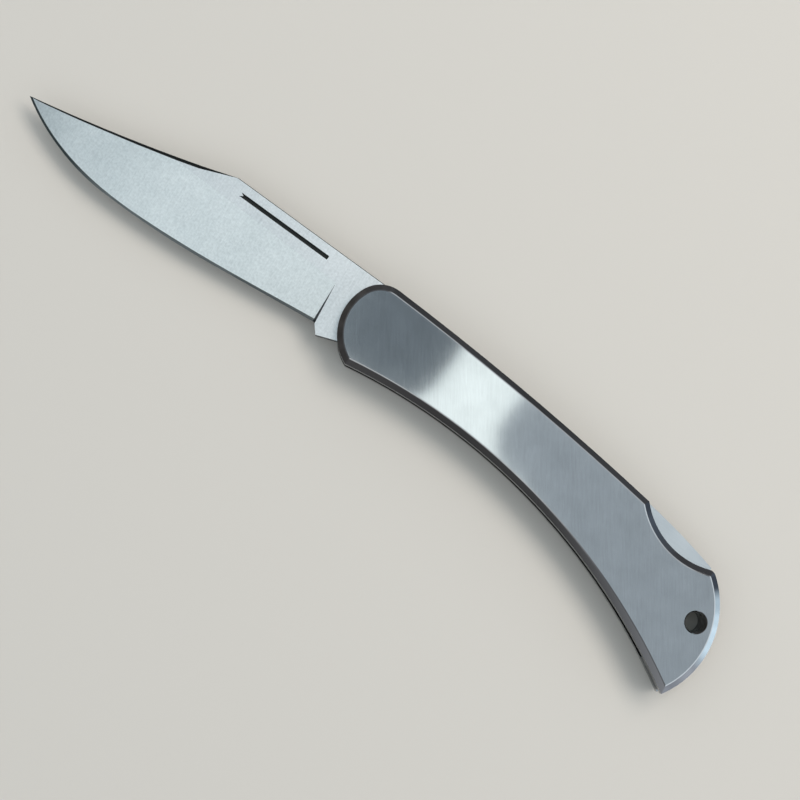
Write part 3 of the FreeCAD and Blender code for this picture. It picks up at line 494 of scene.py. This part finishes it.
# Its unevenness: how fine the patches are, and by what they weaken and strengthen the light
PATCH_SCALE = 3.5
PATCH_SPAN = (0.35, 0.65)
PATCH_LEVELS = (0.75, 1.3)

# Light of the room at middle height, the same beside the butt, and light from high up
HAZE = (0.29, 0.305, 0.32)
BUTT_HAZE = (0.44, 0.48, 0.51)
SKY = (0.47, 0.465, 0.46)

# Where these lights meet, by height or along X, and how much higher they start on the near side, along Y
HORIZON_TO_HAZE = (0.25, 0.3)
HAZE_TO_SKY = (0.58, 0.68)
HAZE_TO_BUTT = (0.3, 0.55)
FAR_TO_NEAR = (-0.1, -0.5)
NEAR_RISE = 0.13


def add_panel(name, sizes, middle, material, faces_down=False):
    """A flat piece of the stage."""
    mesh = bpy.data.meshes.new(name)
    shape = bmesh.new()
    bmesh.ops.create_grid(shape, x_segments=1, y_segments=1, size=UNIT_HALF)
    if faces_down:
        bmesh.ops.reverse_faces(shape, faces=shape.faces)
    bmesh.ops.scale(shape, verts=shape.verts, vec=(*sizes, 1))
    bmesh.ops.translate(shape, verts=shape.verts, vec=middle)
    shape.to_mesh(mesh)
    shape.free()
    mesh.materials.append(material)
    panel = bpy.data.objects.new(name, mesh)
    bpy.context.scene.collection.objects.link(panel)


def pale_floor(settings):
    material = bpy.data.materials.new("pale_floor")
    material.use_nodes = True
    shader = material.node_tree.nodes["Principled BSDF"]
    shader.inputs["Base Color"].default_value = with_alpha(settings.floor)
    shader.inputs["Roughness"].default_value = FLOOR_ROUGHNESS
    shader.inputs["Specular IOR Level"].default_value = FLOOR_GLOSS
    return material


def horizon_light(nodes, across, away):
    """The room's light low down, all round."""
    azimuth = nodes.math("ARCTAN2", away, across)
    ramp = nodes.add("ShaderNodeValToRGB", {"Fac": nodes.spread(azimuth, (-math.pi, math.pi))})
    stops = ramp.color_ramp.elements
    while len(stops) < len(HORIZON):
        stops.new(1.0)
    for stop, (degrees, rgb) in zip(stops, HORIZON):
        stop.position = (degrees + 180) / 360
        stop.color = with_alpha(rgb)
    return ramp.outputs["Color"]


def set_world(settings):
    """A room that is dark low down, apart from a bright stretch beside the butt, and brighter higher up."""
    world = bpy.data.worlds.new("studio")
    world.use_nodes = True
    nodes = Nodes(world.node_tree)
    direction = nodes.add("ShaderNodeTexCoord").outputs["Generated"]
    across, away, height = (nodes.part(direction, axis) for axis in "XYZ")

    patches = nodes.spread(nodes.noise(direction, scale=PATCH_SCALE), PATCH_SPAN, *PATCH_LEVELS)
    inputs = {0: horizon_light(nodes, across, away), "Scale": patches}
    low = nodes.add("ShaderNodeVectorMath", inputs, operation="SCALE").outputs["Vector"]
    risen = nodes.math("SUBTRACT", height, nodes.spread(away, FAR_TO_NEAR, 0, NEAR_RISE))
    middle = nodes.blend(nodes.spread(across, HAZE_TO_BUTT), with_alpha(HAZE), with_alpha(BUTT_HAZE))
    upper = nodes.blend(nodes.spread(risen, HAZE_TO_SKY), middle, with_alpha(SKY))

    background = nodes.tree.nodes["Background"]
    light = nodes.blend(nodes.spread(risen, HORIZON_TO_HAZE), low, upper)
    nodes.give(background.inputs["Color"], light)
    background.inputs["Strength"].default_value = settings.room_level
    bpy.context.scene.world = world


def looking(stand, aim, upward):
    """A placement that looks from where it stands to an aim, with its top towards upward."""
    back = (stand - aim).normalized()
    right = upward.cross(back).normalized()
    turned = Matrix((right, back.cross(right), back)).transposed()
    return Matrix.Translation(stand) @ turned.to_4x4()


def add_key(settings):
    """A large soft light on the far side, as bright as a white surface times its level."""
    light = bpy.data.lights.new("key_softbox", "AREA")
    light.shape = "RECTANGLE"
    light.size, light.size_y = KEY_SIZE
    light.energy = settings.key_level * math.pi * light.size * light.size_y
    light.color = KEY_COLOUR
    key = bpy.data.objects.new("key_softbox", light)
    key.matrix_world = looking(Vector(KEY_PLACE), Vector((0, 0, 0)), UPWARD)
    bpy.context.scene.collection.objects.link(key)


def face_places(nodes, settings):
    """X and Y of the place on the handle's outer face that mirrors the ceiling here, in millimetres."""
    camera = Vector(settings.camera_place)
    ratio = (settings.ceiling_height - FACE_HEIGHT) / (camera.z - FACE_HEIGHT)
    inputs = {
        "Vector": nodes.add("ShaderNodeTexCoord").outputs["Object"],
        "Location": (-camera.x * ratio, -camera.y * ratio, 0),
        "Scale": ((1 + ratio) * MM,) * 3,
    }
    mirrored = nodes.add("ShaderNodeMapping", inputs, vector_type="TEXTURE").outputs[0]
    return [nodes.part(mirrored, axis) for axis in "XY"]


def rounded_corner(nodes, past_edges, radius):
    """How far a place lies outside of a region with a rounded corner, from how far it is past two edges."""
    side, end = (nodes.math("MAXIMUM", nodes.math("ADD", past, radius), 0) for past in past_edges)
    squares = nodes.math("ADD", nodes.math("MULTIPLY", side, side), nodes.math("MULTIPLY", end, end))
    return nodes.math("SUBTRACT", nodes.math("SQRT", squares), radius)


def shaded_part(nodes, x, y):
    """1 over the dark front of the handle."""
    past_right = nodes.math("SUBTRACT", x, SHADE_CORNER[0])
    past_low = nodes.math("SUBTRACT", SHADE_CORNER[1], y)
    return nodes.spread(rounded_corner(nodes, (past_right, past_low), LOW_ROUND), SOFT_EDGE)


def grey_part(nodes, x, y):
    """1 over the grey rear of the handle, whose lower side turns down towards the butt."""
    bend = nodes.math("MAXIMUM", nodes.math("SUBTRACT", x, GREY_BEND), 0)
    past_left = nodes.math("SUBTRACT", GREY_CORNER[0], x)
    past_low = nodes.math("SUBTRACT", GREY_CORNER[1], nodes.math("ADD", y, bend))
    past_high = nodes.math("SUBTRACT", y, GREY_TOP)
    low = rounded_corner(nodes, (past_left, past_low), LOW_ROUND)
    high = rounded_corner(nodes, (past_left, past_high), HIGH_ROUND)
    return nodes.spread(nodes.math("MAXIMUM", low, high), SOFT_EDGE)


def lit_ceiling(settings):
    """The ceiling's glow, with a shaded part, a bright band and a grey part that the handle mirrors."""
    material = bpy.data.materials.new("lit_ceiling")
    material.use_nodes = True
    nodes = Nodes(material.node_tree)
    x, y = face_places(nodes, settings)
    outer = nodes.spread(nodes.math("ABSOLUTE", y), BAND_TO_OUTER)
    to_tip = nodes.blend(nodes.spread(x, BLADE_TO_TIP), with_alpha(BLADE_LIGHT), with_alpha(TIP_LIGHT))
    light = nodes.blend(outer, with_alpha(BAND_LIGHT), with_alpha(OUTER_LIGHT))
    light = nodes.blend(grey_part(nodes, x, y), light, with_alpha(GREY_LIGHT))
    light = nodes.blend(shaded_part(nodes, x, y), light, with_alpha(SHADE_LIGHT))
    light = nodes.blend(nodes.spread(x, HANDLE_TO_BLADE), light, to_tip)

    shader = nodes.tree.nodes["Principled BSDF"]
    shader.inputs["Base Color"].default_value = with_alpha(BLACK)
    shader.inputs["Specular IOR Level"].default_value = 0
    nodes.give(shader.inputs["Emission Color"], light)
    shader.inputs["Emission Strength"].default_value = settings.ceiling_level
    return material


def add_camera(settings):
    lens = bpy.data.cameras.new("camera")
    lens.lens = settings.camera_lens
    lens.clip_start = CLIP_START
    camera = bpy.data.objects.new("camera", lens)
    across = Vector((math.cos(settings.camera_turn), math.sin(settings.camera_turn), 0))
    picture_top = UPWARD.cross(across)
    camera.matrix_world = looking(Vector(settings.camera_place), Vector(settings.camera_aim), picture_top)
    bpy.context.scene.collection.objects.link(camera)
    bpy.context.scene.camera = camera


class KNIFE_OT_set_studio(bpy.types.Operator):
    """Lay a pale floor under the knife, light it softly and place the camera"""

    bl_idname = "knife.set_studio"
    bl_label = "Set Studio"

    def execute(self, context):
        settings = context.scene.knife.studio
        context.scene.view_settings.view_transform = "Standard"
        add_panel("floor", FLOOR_SIZE, (0, 0, -FLOOR_GAP), pale_floor(settings))
        set_world(settings)
        overhead = (*CEILING_MIDDLE, settings.ceiling_height)
        add_panel("ceiling", CEILING_SIZE, overhead, lit_ceiling(settings), faces_down=True)
        add_key(settings)
        add_camera(settings)
        return {"FINISHED"}


OPERATORS = (
    KNIFE_OT_finish_handle,
    KNIFE_OT_finish_blade,
    KNIFE_OT_finish_lock,
    KNIFE_OT_finish_washers,
    KNIFE_OT_set_studio,
)


class KNIFE_PT_looks(bpy.types.Panel):
    """Finishes of the knife, and the studio"""

    bl_label = "Folding Knife"
    bl_space_type = "VIEW_3D"
    bl_region_type = "UI"
    bl_category = "Knife"

    def draw(self, context):
        for operator in OPERATORS:
            self.layout.operator(operator.bl_idname)
        knife = context.scene.knife
        for group in (knife.handle, knife.blade, knife.lock, knife.washer, knife.studio):
            box = self.layout.box()
            for name in group.bl_rna.properties.keys():
                if name not in ("rna_type", "name"):
                    box.prop(group, name)


CLASSES = (
    HandleFinish,
    BladeFinish,
    LockFinish,
    WasherFinish,
    StudioSettings,
    KnifeSettings,
    *OPERATORS,
    KNIFE_PT_looks,
)


def register():
    for cls in CLASSES:
        bpy.utils.register_class(cls)
    bpy.types.Scene.knife = PointerProperty(type=KnifeSettings)


def unregister():
    del bpy.types.Scene.knife
    for cls in reversed(CLASSES):
        bpy.utils.unregister_class(cls)


def main():
    register()
    bpy.ops.knife.finish_handle()
    bpy.ops.knife.finish_blade()
    bpy.ops.knife.finish_lock()
    bpy.ops.knife.finish_washers()
    bpy.ops.knife.set_studio()


if __name__ == "__main__":
    main()
